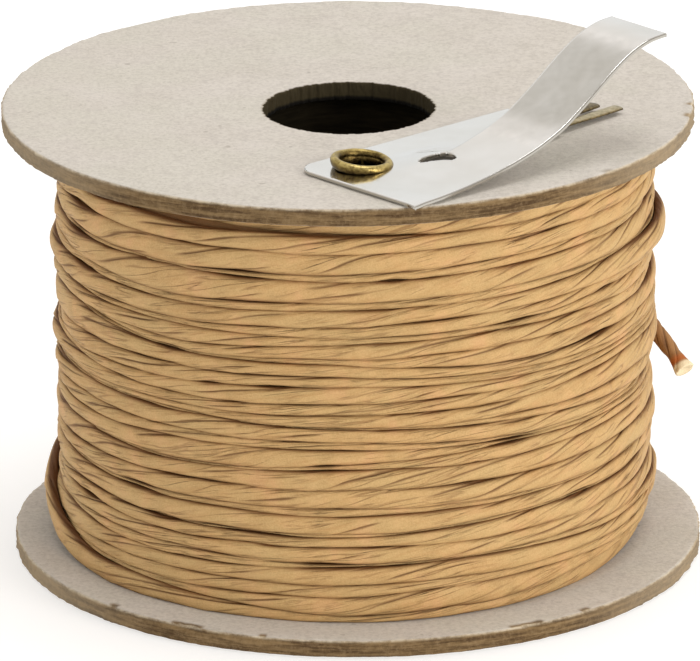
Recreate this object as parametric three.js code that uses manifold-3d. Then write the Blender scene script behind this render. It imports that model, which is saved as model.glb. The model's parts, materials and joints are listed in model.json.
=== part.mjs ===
// Spool of paper twine. Two round greyboard flanges stand on a paper tube, and twisted kraft
// paper twine is wound between them in uneven turns. A sprung metal cutter plate is riveted to
// the upper flange with a brass eyelet, and a brass split pin holds its free end.
// Millimetres, +Z up along the spool, -Y to the front, origin at the centre of the underside.

import * as THREE from 'three';
import { mergeVertices } from 'three/addons/utils/BufferGeometryUtils.js';
import Module from 'manifold-3d';

const wasm = await Module();
wasm.setup();

// Spool
const HEIGHT = 57.0;
const BOARD = 2.24;
const FLANGE_RADIUS = 42.5;
const FLANGE_SHIFT = 0.56;
const RIM_WEAR = 0.3;
const UPPER_TILT_DEG = 0.23;
const CLEARANCE = 0.3;
const UPPER_CLEARANCE = 0.5;

// Hollow core
const HOLE_RADIUS = 10.5;
const HOLE_LOWER = { x: 0, y: -1.2 };
const HOLE_UPPER = { x: -0.42, y: -2.41 };
const TUBE_INNER_RADIUS = 12.4;
const TUBE_OUTER_RADIUS = 14.4;
const TUBE_CENTRE_Y = -1.2;

// Winding
const WIND_RADIUS = 36.6;
const WIND_CENTRE_X = 0.25;
const TURN_CROWN = 0.42;
const TURN_SWAY = 0.3;
const TURN_SWAY_STEP = 0.37;
const NARROW_TURN = 1.1;
const WIND_SEGMENTS = 44;
const WIND_SHOULDER_RADIUS = 33.0;
const WIND_DISH = 1.2;

// Turns that show on the front, lowest first: the height of each and how far its crown stands out
const TURNS = [
  { width: 0.9, out: -0.2 },
  { width: 2.4, out: 0.2 },
  { width: 1.4, out: -0.1 },
  { width: 2.7, out: 0.2 },
  { width: 2.4, out: 0.1 },
  { width: 1.2, out: -0.2 },
  { width: 2.6, out: 0.2 },
  { width: 0.9, out: -0.4 },
  { width: 2.5, out: 0.2 },
  { width: 2.6, out: 0.0 },
  { width: 0.6, out: -0.5 },
  { width: 1.8, out: 0.1 },
  { width: 1.0, out: -0.3 },
  { width: 1.9, out: 0.1 },
  { width: 1.5, out: -0.1 },
  { width: 1.5, out: 0.1 },
  { width: 2.4, out: 0.2 },
  { width: 2.5, out: 0.0 },
  { width: 0.5, out: -0.5 },
  { width: 2.0, out: 0.2 },
  { width: 0.9, out: -0.4 },
  { width: 1.5, out: 0.0 },
  { width: 2.0, out: 0.2 },
  { width: 1.0, out: -0.3 },
  { width: 2.5, out: 0.2 },
  { width: 1.0, out: -0.4 },
  { width: 2.6, out: 0.1 },
  { width: 2.1, out: 0.2 },
  { width: 1.6, out: 0.0 },
  { width: 1.6, out: 0.0 },
];

// Places where turns stand off the winding or sink into it. Azimuth is from +X to +Y.
const SWELLS = [
  { azimuth: -4, along: 30, height: 42.2, across: 3.6, out: 1.35 },
  { azimuth: -4, along: 22, height: 38.0, across: 1.4, out: -0.9 },
  { azimuth: -2, along: 30, height: 31.5, across: 5.5, out: 0.5 },
  { azimuth: -3, along: 22, height: 25.0, across: 1.3, out: -0.7 },
  { azimuth: -3, along: 24, height: 47.2, across: 1.6, out: -0.5 },
  { azimuth: 0, along: 26, height: 21.0, across: 3.0, out: -0.4 },
  { azimuth: -2, along: 30, height: 9.6, across: 2.2, out: 0.7 },
  { azimuth: 184, along: 46, height: 4.6, across: 2.2, out: 1.7 },
  { azimuth: 190, along: 34, height: 8.6, across: 1.8, out: -1.0 },
  { azimuth: 186, along: 24, height: 10.5, across: 1.6, out: -0.3 },
  { azimuth: 182, along: 30, height: 39.5, across: 2.2, out: 0.5 },
  { azimuth: 182, along: 26, height: 46.5, across: 2.0, out: -0.3 },
  { azimuth: 180, along: 24, height: 31.3, across: 1.6, out: -0.6 },
  { azimuth: 178, along: 24, height: 28.2, across: 2.0, out: 0.45 },
  { azimuth: 176, along: 22, height: 21.0, across: 2.0, out: -1.0 },
  { azimuth: 58, along: 22, height: 32.4, across: 2.4, out: -1.2 },
];

// Cutter plate, in its own plan: s runs along it from the corner on the rim, a runs across it
const PLATE_CORNER = { x: 8.01, y: -43.2 };
const PLATE_TURN_DEG = 41.5;
const SHEET = 0.5;
const PLATE_LENGTH = 41.0;
const PLATE_WIDTH = 20.9;
const TONGUE_WIDTH = 9.8;
const SLIT_WIDTH = 0.5;
const SLIT_ROOT = 13.6;
const SLIT_EASE = 8.0;
const FLAT_LENGTH = 34.0;
const SHORT_EDGE_SKEW = 0.65;
const CORNER_ROUND = 2.2;
const SHEET_STEPS = 22;
const SHEET_CELLS_EACH_SIDE = 4;

// Height of the tongue's upper face over the plane that the sheet rests on, along s
const TONGUE_RISE = [
  { s: 0.0, height: 0.5 },
  { s: 4.0, height: 0.6 },
  { s: 8.0, height: 0.95 },
  { s: 12.0, height: 1.45 },
  { s: 16.0, height: 2.2 },
  { s: 20.0, height: 3.3 },
  { s: 24.0, height: 4.9 },
  { s: 28.0, height: 7.45 },
  { s: 32.0, height: 10.3 },
  { s: 35.0, height: 12.1 },
  { s: 38.0, height: 13.2 },
  { s: 41.0, height: 13.4 },
];

// Bean-shaped relief hole at the slit's root
const RELIEF = { s: 12.3, a: 9.7, length: 4.5, width: 2.4, turnDeg: -41.5, bend: 0.7 };

// Eyelet
const EYELET = { s: 5.4, a: 15.6 };
const EYELET_TILT_DEG = 3.0;
const EYELET_HOLE_RADIUS = 3.35;
const RING_RADIUS = 3.2;
const RING_ROLL_RADIUS = 0.52;
const RING_LIFT = 1.02;
const BARREL_INNER_RADIUS = 2.6;
const BARREL_OUTER_RADIUS = 2.95;
const SET_RADIUS = 3.9;
const SET_THICKNESS = 0.4;
const SET_DEPTH = 3.35;

// Split pin
const PIN = { s: 30.6, a: 10.6 };
const PIN_HOLE_RADIUS = 1.3;
const PIN_HEAD_RADIUS = 1.8;
const PIN_HEAD_THICKNESS = 0.5;
const PIN_BEND_RADIUS = 0.6;
const PIN_NOTCH = { s: 29.1, a: 12.3 };
const PIN_LEGS = [
  { reach: 13.7, turnDeg: 5.3, width: 1.5, thickness: 0.5, height: 0.8, endHeight: 0.65 },
  { reach: 12.4, turnDeg: 17.9, width: 1.6, thickness: 0.6, height: 1.5, endHeight: 0.75 },
];

// Loose end of the twine
const TWINE_DIAMETER = 2.0;
const LOOSE_SIDES = 8;
const LOOSE_STEPS = 9;
const LOOSE_ROUTE = [
  { x: 17.05, y: 32.9, z: 32.8 },
  { x: 19.5, y: 31.9, z: 32.5 },
  { x: 21.7, y: 30.5, z: 32.1 },
  { x: 23.8, y: 29.1, z: 31.5 },
  { x: 25.7, y: 27.6, z: 30.7 },
  { x: 27.6, y: 26.0, z: 29.8 },
  { x: 29.4, y: 24.3, z: 28.8 },
  { x: 31.2, y: 22.4, z: 27.7 },
  { x: 32.9, y: 20.5, z: 26.5 },
  { x: 34.6, y: 18.6, z: 25.2 },
  { x: 36.25, y: 16.8, z: 23.8 },
  { x: 37.8, y: 15.1, z: 22.3 },
  { x: 39.2, y: 13.5, z: 20.9 },
  { x: 40.5, y: 12.0, z: 19.5 },
  { x: 41.5, y: 10.8, z: 18.3 },
];

const rad = THREE.MathUtils.degToRad;
const smoothstep = THREE.MathUtils.smoothstep;
const lerp = THREE.MathUtils.lerp;

const GREYBOARD = new THREE.MeshStandardMaterial({ color: 0xd1cabd, roughness: 0.9 });
const TUBE_BOARD = new THREE.MeshStandardMaterial({ color: 0x3a3226, roughness: 0.95 });
const KRAFT = new THREE.MeshStandardMaterial({ color: 0xc69e68, roughness: 0.75 });
const ALUMINIUM = new THREE.MeshStandardMaterial({ color: 0xd4d3cc, roughness: 0.3, metalness: 1 });
const OLD_BRASS = new THREE.MeshStandardMaterial({ color: 0x8c7440, roughness: 0.4, metalness: 1 });

// A closed geometry as a solid that can be joined and cut
function toSolid(geometry) {
  const bare = geometry.clone();
  bare.deleteAttribute('normal');
  bare.deleteAttribute('uv');
  const merged = mergeVertices(bare, 1e-4);
  const triVerts = [];
  for (let i = 0; i < merged.index.count; i += 3) {
    const [a, b, c] = [0, 1, 2].map((k) => merged.index.getX(i + k));
    if (a !== b && b !== c && c !== a) {
      triVerts.push(a, b, c);
    }
  }
  return new wasm.Manifold(new wasm.Mesh({
    numProp: 3,
    vertProperties: new Float32Array(merged.attributes.position.array),
    triVerts: new Uint32Array(triVerts),
  }));
}

function toGeometry(solid) {
  const mesh = solid.getMesh();
  const geometry = new THREE.BufferGeometry();
  geometry.setAttribute('position', new THREE.BufferAttribute(mesh.vertProperties, 3));
  geometry.setIndex(new THREE.BufferAttribute(mesh.triVerts, 1));
  return geometry;
}

function part(name, geometry, material) {
  const mesh = new THREE.Mesh(geometry, material);
  mesh.name = name;
  return mesh;
}

// A profile of [radius, height] points turned about +Z
function turned(profile, segments) {
  const points = profile.map(([radius, height]) => new THREE.Vector2(radius, height));
  return new THREE.LatheGeometry(points, segments).rotateX(Math.PI / 2);
}

// An upright round cutter through everything between two heights
function roundCutter(radius, centre, low, high, segments) {
  const height = high - low;
  const cylinder = new THREE.CylinderGeometry(radius, radius, height, segments);
  cylinder.rotateX(Math.PI / 2);
  cylinder.translate(centre.x, centre.y, (low + high) / 2);
  return toSolid(cylinder);
}

// A box cutter from its lowest corner to its highest
function boxCutter(low, high) {
  const box = new THREE.BoxGeometry(high[0] - low[0], high[1] - low[1], high[2] - low[2]);
  box.translate((low[0] + high[0]) / 2, (low[1] + high[1]) / 2, (low[2] + high[2]) / 2);
  return toSolid(box);
}

// A point of the plate's plan, seen in the frame of the upper flange
function onPlate({ s, a }) {
  const turn = rad(PLATE_TURN_DEG);
  return {
    x: PLATE_CORNER.x + s * Math.cos(turn) - a * Math.sin(turn),
    y: PLATE_CORNER.y + s * Math.sin(turn) + a * Math.cos(turn),
  };
}

// A round board with worn edges, its upper face at z = 0, and its holes
function boardDisc(holes) {
  const profile = [
    [0, -BOARD],
    [FLANGE_RADIUS - RIM_WEAR, -BOARD],
    [FLANGE_RADIUS, -BOARD + RIM_WEAR],
    [FLANGE_RADIUS, -RIM_WEAR],
    [FLANGE_RADIUS - RIM_WEAR, 0],
    [0, 0],
  ];
  let board = toSolid(turned(profile, 96));
  for (const hole of holes) {
    board = board.subtract(roundCutter(hole.radius, hole, -BOARD - 1, 1, hole.segments));
  }
  return toGeometry(board);
}

function lowerFlange() {
  const hole = { x: HOLE_LOWER.x - FLANGE_SHIFT, y: HOLE_LOWER.y, radius: HOLE_RADIUS, segments: 48 };
  const flange = part('flange_bottom', boardDisc([hole]), GREYBOARD);
  flange.position.set(FLANGE_SHIFT, 0, BOARD);
  return flange;
}

function upperFlange() {
  const holes = [
    { x: HOLE_UPPER.x + FLANGE_SHIFT, y: HOLE_UPPER.y, radius: HOLE_RADIUS, segments: 48 },
    { ...onPlate(EYELET), radius: EYELET_HOLE_RADIUS, segments: 24 },
    { ...onPlate(PIN), radius: PIN_HOLE_RADIUS, segments: 16 },
  ];
  return part('flange_top', boardDisc(holes), GREYBOARD);
}

function coreTube() {
  const low = BOARD + CLEARANCE;
  const high = HEIGHT - BOARD - UPPER_CLEARANCE;
  const profile = [
    [TUBE_INNER_RADIUS, low],
    [TUBE_OUTER_RADIUS, low],
    [TUBE_OUTER_RADIUS, high],
    [TUBE_INNER_RADIUS, high],
    [TUBE_INNER_RADIUS, low],
  ];
  const tube = part('core_tube', turned(profile, 48), TUBE_BOARD);
  tube.position.y = TUBE_CENTRE_Y;
  return tube;
}

// A soft hump: 1 in the middle, 0 at a distance of one and beyond
function hump(distance) {
  const inside = Math.min(Math.abs(distance), 1);
  return Math.cos(inside * Math.PI / 2) ** 2;
}

// The same angle between minus and plus half a turn
function shortestTurn(angle) {
  return THREE.MathUtils.euclideanModulo(angle + Math.PI, 2 * Math.PI) - Math.PI;
}

// How far the swells move the winding's surface out at an azimuth and height
function swellAt(azimuth, height) {
  let out = 0;
  for (const swell of SWELLS) {
    const turn = shortestTurn(azimuth - rad(swell.azimuth)) / rad(swell.along);
    out += swell.out * hump(turn) * hump((height - swell.height) / swell.across);
  }
  return out;
}

// Rows of the wound surface, lowest first. Each is a height and how far it stands off the mean
// radius: a turn's lower edge, then points over its crown, with fewer on a narrow turn.
function turnRows() {
  const rows = [];
  const total = TURNS.reduce((sum, turn) => sum + turn.width, 0);
  const low = BOARD + CLEARANCE;
  const high = HEIGHT - BOARD - UPPER_CLEARANCE;
  let edge = low;
  TURNS.forEach((turn, index) => {
    const width = turn.width * (high - low) / total;
    const cells = turn.width < NARROW_TURN ? 2 : 4;
    for (let k = 0; k < cells; k += 1) {
      const across = k / cells;
      const crown = TURN_CROWN * Math.sin(Math.PI * across) ** 0.7;
      const lean = k === 0 ? 0 : turn.out;
      rows.push({
        height: edge + across * width,
        out: lean + crown - TURN_CROWN,
        phase: (index + across) * TURN_SWAY_STEP,
      });
    }
    edge += width;
  });
  rows.push({ height: high, out: -TURN_CROWN, phase: 0 });
  return rows;
}

// The winding is a closed profile turned about the spool, whose rows then sway up and down
// around it and move out or in with the swells.
function winding() {
  const rows = turnRows();
  const low = BOARD + CLEARANCE;
  const high = HEIGHT - BOARD - UPPER_CLEARANCE;
  const bore = TUBE_OUTER_RADIUS + CLEARANCE;
  const inner = [
    { radius: WIND_SHOULDER_RADIUS, height: high },
    { radius: WIND_SHOULDER_RADIUS - WIND_DISH, height: high - WIND_DISH },
    { radius: bore, height: high - WIND_DISH },
    { radius: bore, height: low },
  ];
  const profile = rows.map((row) => [WIND_RADIUS, row.height]);
  inner.forEach((corner) => profile.push([corner.radius, corner.height]));
  profile.push(profile[0]);
  const geometry = turned(profile, WIND_SEGMENTS);
  const position = geometry.attributes.position;
  const columnLength = profile.length;
  for (let i = 0; i < position.count; i += 1) {
    const row = (i % columnLength) % (columnLength - 1);
    const column = Math.floor(i / columnLength) % WIND_SEGMENTS;
    const azimuth = column / WIND_SEGMENTS * 2 * Math.PI;
    if (row < rows.length) {
      position.setXYZ(i, ...outerPoint(rows[row], azimuth, low, high));
    } else {
      position.setXYZ(i, ...innerPoint(inner[row - rows.length], azimuth));
    }
  }
  return part('winding', geometry, KRAFT);
}

function outerPoint(row, azimuth, low, high) {
  const free = smoothstep(row.height, low, low + 3) * (1 - smoothstep(row.height, high - 3, high));
  const sway = TURN_SWAY * (Math.sin(azimuth + row.phase) + 0.6 * Math.sin(2 * azimuth - 1.7 * row.phase));
  const height = row.height + free * sway;
  const radius = WIND_RADIUS + row.out + swellAt(azimuth, row.height);
  return [WIND_CENTRE_X + radius * Math.cos(azimuth), radius * Math.sin(azimuth), height];
}

function innerPoint(corner, azimuth) {
  return [
    corner.radius * Math.cos(azimuth),
    TUBE_CENTRE_Y + corner.radius * Math.sin(azimuth),
    corner.height,
  ];
}

// Height of the tongue's upper face at s, smooth through the table
const riseCurve = new THREE.CubicInterpolant(
  TONGUE_RISE.map((row) => row.s),
  TONGUE_RISE.map((row) => row.height),
  1,
);

function tongueHeight(s) {
  return riseCurve.evaluate(s)[0];
}

// Height of the sheet's upper face. The tongue follows its curve. The other half lies flat, but
// next to the slit's root it is drawn up with the tongue and eases back down.
function sheetHeight(s, a) {
  if (a <= TONGUE_WIDTH) {
    return tongueHeight(s);
  }
  const drawn = 1 - smoothstep(a, TONGUE_WIDTH, PLATE_WIDTH - SLIT_EASE / 2);
  const ease = 1 - smoothstep(s, SLIT_ROOT, SLIT_ROOT + SLIT_EASE);
  return SHEET + (tongueHeight(Math.min(s, SLIT_ROOT)) - SHEET) * drawn * ease;
}

// Lines across the sheet, with one on each side of the slit
function acrossLine(index) {
  const cells = SHEET_CELLS_EACH_SIDE;
  if (index <= cells) {
    return TONGUE_WIDTH * index / cells;
  }
  return lerp(TONGUE_WIDTH + SLIT_WIDTH, PLATE_WIDTH, (index - cells - 1) / cells);
}

// The whole sheet before it is cut: a box with a grid of faces, bent to the heights above. Its
// underside is a sheet's thickness away along the slope.
function bentSheet() {
  const cells = 2 * SHEET_CELLS_EACH_SIDE + 1;
  const box = new THREE.BoxGeometry(1, 1, 1, SHEET_STEPS, cells, 1);
  const position = box.attributes.position;
  for (let i = 0; i < position.count; i += 1) {
    const a = acrossLine(Math.round((position.getY(i) + 0.5) * cells));
    const along = position.getX(i) + 0.5;
    const s = along * PLATE_LENGTH - SHORT_EDGE_SKEW * (a / PLATE_WIDTH) * (1 - along);
    const step = 0.05;
    const slope = (sheetHeight(s + step, a) - sheetHeight(s - step, a)) / (2 * step);
    const depth = position.getZ(i) > 0 ? 0 : SHEET;
    const length = Math.hypot(1, slope);
    position.setXYZ(i, s + depth * slope / length, a, sheetHeight(s, a) - depth / length);
  }
  return toSolid(box);
}

// A bean: a round-ended slot bent along an arc, as an upright cutter
function beanCutter({ s, a, length, width, turnDeg, bend }) {
  const half = (length - width) / 2;
  const radius = width / 2;
  const outline = new THREE.Shape();
  outline.moveTo(-half, radius);
  outline.quadraticCurveTo(0, radius + bend, half, radius);
  outline.absarc(half, 0, radius, Math.PI / 2, -Math.PI / 2, true);
  outline.quadraticCurveTo(0, bend - radius, -half, -radius);
  outline.absarc(-half, 0, radius, -Math.PI / 2, -1.5 * Math.PI, true);
  const bean = new THREE.ExtrudeGeometry(outline, { depth: 8, bevelEnabled: false, curveSegments: 6 });
  bean.rotateZ(rad(turnDeg));
  bean.translate(s, a, -2);
  return toSolid(bean);
}

// What is left over outside a rounded corner of the sheet, as an upright cutter
function cornerCutter(s, a, radius) {
  const outline = new THREE.Shape();
  outline.moveTo(s - 1.5, a + 1);
  outline.lineTo(s - 1.5, a - radius);
  outline.lineTo(s, a - radius);
  outline.absarc(s + radius, a - radius, radius, Math.PI, Math.PI / 2, true);
  outline.lineTo(s + radius, a + 1);
  const corner = new THREE.ExtrudeGeometry(outline, { depth: 4, bevelEnabled: false, curveSegments: 6 });
  corner.translate(0, 0, -2);
  return toSolid(corner);
}

function cutterPlate() {
  const margin = 0.06;
  const tall = 20;
  const far = PLATE_LENGTH + 2;
  const slitEdge = TONGUE_WIDTH + SLIT_WIDTH + margin;
  const slit = boxCutter([SLIT_ROOT, TONGUE_WIDTH - margin, -2], [far, slitEdge, tall]);
  const flatEnd = boxCutter([FLAT_LENGTH, TONGUE_WIDTH + margin, -2], [far, PLATE_WIDTH + 1, tall]);
  const pinNotch = boxCutter([PIN_NOTCH.s, TONGUE_WIDTH + margin, -2], [far, PIN_NOTCH.a, 2]);
  const rivetHole = roundCutter(EYELET_HOLE_RADIUS, { x: EYELET.s, y: EYELET.a }, -2, 4, 24);
  const roundedCorner = cornerCutter(-SHORT_EDGE_SKEW, PLATE_WIDTH, CORNER_ROUND);
  let sheet = bentSheet();
  for (const cutter of [slit, flatEnd, pinNotch, rivetHole, roundedCorner, beanCutter(RELIEF)]) {
    sheet = sheet.subtract(cutter);
  }
  const plate = part('cutter_plate', toGeometry(sheet), ALUMINIUM);
  plate.position.set(PLATE_CORNER.x, PLATE_CORNER.y, CLEARANCE);
  plate.rotation.z = rad(PLATE_TURN_DEG);
  return plate;
}

// Eyelet: a rolled ring over the plate, a barrel down through the plate and the board, and a set
// flange under the board. Its height 0 is the plate's upper face.
function eyelet() {
  const low = -SET_DEPTH - SET_THICKNESS;
  const profile = [
    [BARREL_OUTER_RADIUS, low],
    [SET_RADIUS, low],
    [SET_RADIUS, -SET_DEPTH],
    [BARREL_OUTER_RADIUS, -SET_DEPTH],
    [BARREL_OUTER_RADIUS, RING_LIFT - RING_ROLL_RADIUS],
  ];
  const arcSteps = 8;
  for (let k = 0; k <= arcSteps; k += 1) {
    const turn = lerp(-Math.PI / 2, Math.PI, k / arcSteps);
    const radius = RING_RADIUS + RING_ROLL_RADIUS * Math.cos(turn);
    profile.push([radius, RING_LIFT + RING_ROLL_RADIUS * Math.sin(turn)]);
  }
  profile.push([BARREL_INNER_RADIUS, low + SET_THICKNESS / 2]);
  profile.push(profile[0]);
  const ring = part('eyelet', turned(profile, 32), OLD_BRASS);
  const centre = onPlate(EYELET);
  ring.position.set(centre.x, centre.y, CLEARANCE + SHEET);
  ring.rotation.y = rad(EYELET_TILT_DEG);
  return ring;
}

// A flat strip of even thickness around a line of [distance, height] points, as a shape
function stripShape(line, thickness) {
  const side = (sign) => line.map((point, index) => {
    const before = line[Math.max(index - 1, 0)];
    const after = line[Math.min(index + 1, line.length - 1)];
    const length = Math.hypot(after[0] - before[0], after[1] - before[1]);
    const offset = sign * thickness / 2 / length;
    return new THREE.Vector2(
      point[0] - (after[1] - before[1]) * offset,
      point[1] + (after[0] - before[0]) * offset,
    );
  });
  return new THREE.Shape([...side(-1), ...side(1).reverse()]);
}

// One leg of the split pin: up through the board, round a bend and out over the board
function pinLeg({ reach, turnDeg, width, thickness, height, endHeight }) {
  const low = -BOARD - CLEARANCE - PIN_HEAD_THICKNESS / 2;
  const line = [[0, low], [0, height - PIN_BEND_RADIUS]];
  for (let k = 1; k <= 4; k += 1) {
    const turn = Math.PI / 2 * k / 4;
    const out = PIN_BEND_RADIUS * (1 - Math.cos(turn));
    line.push([out, height - PIN_BEND_RADIUS * (1 - Math.sin(turn))]);
  }
  line.push([reach / 3, height], [reach, endHeight]);
  const extent = { depth: width, bevelEnabled: false };
  const leg = new THREE.ExtrudeGeometry(stripShape(line, thickness), extent);
  leg.translate(0, 0, -width / 2);
  leg.rotateX(Math.PI / 2);
  leg.rotateZ(rad(PLATE_TURN_DEG + turnDeg));
  return toSolid(leg);
}

function splitPin() {
  const headTop = -BOARD - CLEARANCE;
  const centre = onPlate(PIN);
  let pin = roundCutter(PIN_HEAD_RADIUS, { x: 0, y: 0 }, headTop - PIN_HEAD_THICKNESS, headTop, 20);
  for (const leg of PIN_LEGS) {
    pin = pin.add(pinLeg(leg));
  }
  const mesh = part('split_pin', toGeometry(pin), OLD_BRASS);
  mesh.position.set(centre.x, centre.y, 0);
  return mesh;
}

// The upper flange and what is fixed to it share one small tilt
function upperAssembly() {
  const group = new THREE.Group();
  group.position.set(-FLANGE_SHIFT, 0, HEIGHT);
  group.rotation.y = -rad(UPPER_TILT_DEG);
  group.add(upperFlange(), cutterPlate(), eyelet(), splitPin());
  return group;
}

function looseEnd() {
  const route = new THREE.CatmullRomCurve3(LOOSE_ROUTE.map((p) => new THREE.Vector3(p.x, p.y, p.z)));
  const section = new THREE.Shape();
  for (let k = 0; k < LOOSE_SIDES; k += 1) {
    const turn = 2 * Math.PI * k / LOOSE_SIDES;
    const point = [TWINE_DIAMETER / 2 * Math.cos(turn), TWINE_DIAMETER / 2 * Math.sin(turn)];
    if (k === 0) {
      section.moveTo(...point);
    } else {
      section.lineTo(...point);
    }
  }
  const geometry = new THREE.ExtrudeGeometry(section, { steps: LOOSE_STEPS, extrudePath: route });
  return part('loose_end', geometry, KRAFT);
}

const spool = new THREE.Group();
spool.add(lowerFlange(), coreTube(), winding(), upperAssembly(), looseEnd());

export default spool;
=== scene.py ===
"""Spool of paper twine, dressed for the camera.

Tables and shape functions work in millimetres in the part's frame: +Z up along the spool, -Y to
the front, origin at the centre of the underside. The mesh maker turns them into metres.
"""

import json
import math

import bmesh
import bpy
import numpy as np
from mathutils import Matrix, Vector

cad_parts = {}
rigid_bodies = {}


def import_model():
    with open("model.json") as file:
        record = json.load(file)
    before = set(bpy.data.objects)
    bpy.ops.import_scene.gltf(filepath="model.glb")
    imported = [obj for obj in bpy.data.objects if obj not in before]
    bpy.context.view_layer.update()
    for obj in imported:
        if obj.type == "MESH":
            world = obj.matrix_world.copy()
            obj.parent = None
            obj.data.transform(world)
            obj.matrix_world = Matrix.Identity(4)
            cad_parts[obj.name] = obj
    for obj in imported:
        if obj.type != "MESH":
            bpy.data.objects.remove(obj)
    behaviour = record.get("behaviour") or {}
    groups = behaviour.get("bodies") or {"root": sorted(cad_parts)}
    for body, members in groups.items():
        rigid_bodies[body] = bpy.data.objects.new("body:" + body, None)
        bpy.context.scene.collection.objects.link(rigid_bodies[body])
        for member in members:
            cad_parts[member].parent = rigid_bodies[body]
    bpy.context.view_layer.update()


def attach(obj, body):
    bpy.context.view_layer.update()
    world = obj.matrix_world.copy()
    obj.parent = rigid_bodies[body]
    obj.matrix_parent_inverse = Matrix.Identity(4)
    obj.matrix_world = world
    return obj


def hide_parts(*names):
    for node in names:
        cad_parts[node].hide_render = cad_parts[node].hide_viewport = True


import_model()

MM = 0.001

# Camera, as fitted to the outlines of both boards
CAMERA_DISTANCE = 1237.6
CAMERA_ELEVATION = 18.81
CAMERA_ROLL = -0.18
CAMERA_TARGET = (-0.34, 0.0, 27.32)
CAMERA_LENS = 514.2

# Sky: share of the way up, colour
SKY = (
    (0.0, (0.80, 0.81, 0.81)),
    (0.32, (0.82, 0.82, 0.80)),
    (0.47, (0.86, 0.84, 0.81)),
    (0.59, (0.84, 0.81, 0.77)),
    (0.64, (0.98, 0.93, 0.89)),
    (0.71, (0.56, 0.53, 0.48)),
    (1.0, (0.42, 0.39, 0.35)),
)

# Spool
HEIGHT = 57.0
BOARD = 2.24
BOARD_RADIUS = 42.5
BOARD_SHIFT = 0.56
BOARD_SEGMENTS = 880
UPPER_TILT = 0.23
HOLE_RADIUS = 10.5
HOLE_LOWER = (0.0, -1.2)
HOLE_UPPER = (-0.42, -2.41)
TUBE_RADII = (12.4, 14.4)
TUBE_CENTRE_Y = -1.2
TUBE_CLEARANCES = (0.3, 0.5)
TUBE_EASE = 0.2
TURNED_SEGMENTS = 144

# Winding
WIND_CENTRE_X = 0.25
CROWN_RADIUS = 37.0
UNDER_RADIUS = 35.3
WIND_LOW = 2.5
WIND_HIGH = 54.3
STRAND_STEP = 1.05
STRAND_THICKNESS = 0.85
STRAND_FULL_WIDTH = 2.2
STRAND_SINK = 0.75
RUN_ENDING = 25.0
RUN_ENDING_DEPTH = 1.6
GAP_SHARE = 0.4
GAP_REACH = 1.1
TWIST_PITCH = 42.0
CREASE_ANGLES = (0.3, 1.5, 2.7, 3.95, 5.15)
CREASE_DEPTHS = (0.26, 0.15, 0.22, 0.13, 0.2)

# Azimuths, from +X to +Y, at which the grooves' heights are given
GROOVE_AZIMUTHS = (202.0, 232.0, 270.0, 302.0, 332.0)

# Grooves between the strands that show, highest first: heights at the azimuths above
GROOVES = (
    # left, left middle, front, right middle, right
    (54.25, 54.25, 54.25, 54.25, 54.25),
    (50.75, 51.5, 51.5, 51.4, 51.9),
    (48.8, 49.0, 49.4, 49.8, 49.7),
    (45.85, 46.05, 46.7, 47.5, 47.75),
    (45.2, 45.7, 45.75, 46.3, 46.6),
    (42.45, 42.05, 43.25, 43.7, 43.7),
    (41.35, 41.05, 42.25, 42.6, 43.45),
    (38.8, 39.0, 40.15, 40.8, 40.9),
    (38.3, 38.4, 38.7, 38.95, 40.0),
    (36.4, 36.2, 37.95, 38.3, 37.75),
    (36.2, 35.2, 36.05, 36.35, 36.35),
    (36.05, 34.9, 35.2, 33.85, 34.3),
    (32.9, 33.1, 33.8, 32.75, 32.5),
    (30.6, 31.4, 32.65, 31.9, 31.5),
    (29.75, 29.4, 30.4, 30.6, 30.95),
    (27.7, 28.2, 28.9, 29.05, 30.2),
    (27.2, 27.45, 27.25, 27.25, 27.2),
    (27.0, 27.2, 27.0, 26.5, 25.4),
    (25.0, 25.1, 25.45, 24.4, 24.6),
    (23.0, 23.9, 24.45, 24.05, 24.0),
    (21.25, 20.9, 22.6, 23.8, 23.2),
    (20.85, 20.65, 22.05, 21.85, 22.4),
    (18.35, 18.95, 19.45, 19.45, 19.7),
    (16.35, 16.6, 17.05, 16.85, 16.85),
    (16.05, 15.85, 15.9, 16.4, 16.65),
    (13.6, 13.4, 13.65, 14.65, 15.1),
    (13.3, 13.1, 13.15, 14.4, 14.85),
    (12.15, 11.5, 12.1, 11.95, 12.45),
    (9.75, 10.1, 9.8, 10.1, 9.9),
    (8.95, 8.6, 9.45, 9.85, 8.7),
    (6.4, 6.95, 7.15, 7.6, 7.5),
    (5.5, 5.25, 5.6, 6.7, 6.25),
    (5.0, 4.4, 3.15, 3.75, 5.0),
    (2.3, 2.3, 2.3, 2.3, 2.3),
)

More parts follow.
